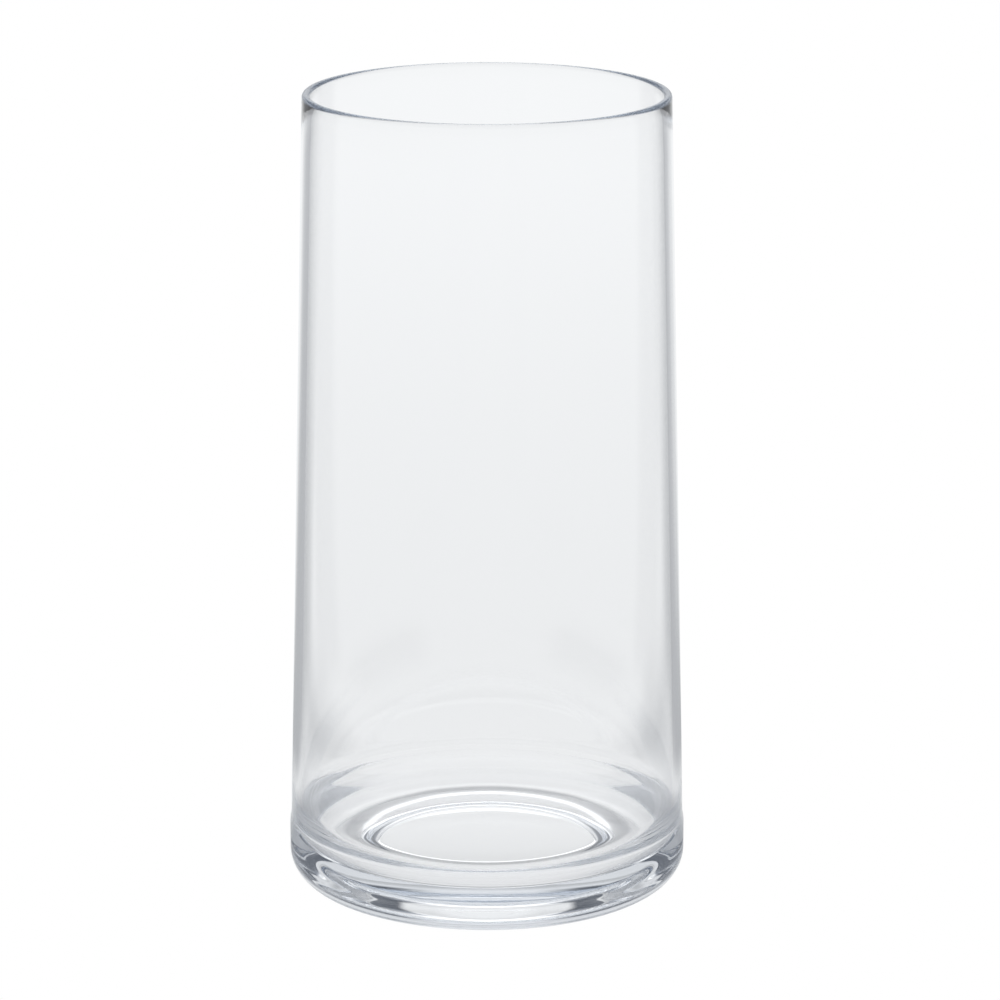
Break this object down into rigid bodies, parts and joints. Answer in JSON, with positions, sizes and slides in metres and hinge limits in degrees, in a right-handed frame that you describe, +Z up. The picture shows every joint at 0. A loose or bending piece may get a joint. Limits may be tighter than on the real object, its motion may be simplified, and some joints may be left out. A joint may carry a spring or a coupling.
{
  "type": "glass cylinder vase",
  "caption": "Clear glass cylinder vase, slightly tapered, with a thin rounded lip and a heavy rounded base that stands on a ground ring.",
  "frame": {"origin": "centre of the foot, on the surface the vase stands on", "axes": "+Z up along the vase's axis, from the foot to the mouth; X and Y are free, because the vase is round"},
  "size_m": [0.1266, 0.1266, 0.254],
  "materials": {
    "clear_glass": "clear and polished, faintly blue-grey where it is thick",
    "ground_glass": "ground flat, satin"
  },
  "bodies": {
    "root": {"rim": "clear_glass", "wall": "clear_glass", "heel": "clear_glass", "floor": "clear_glass", "foot_ring": "ground_glass"}
  },
  "joints": []
}
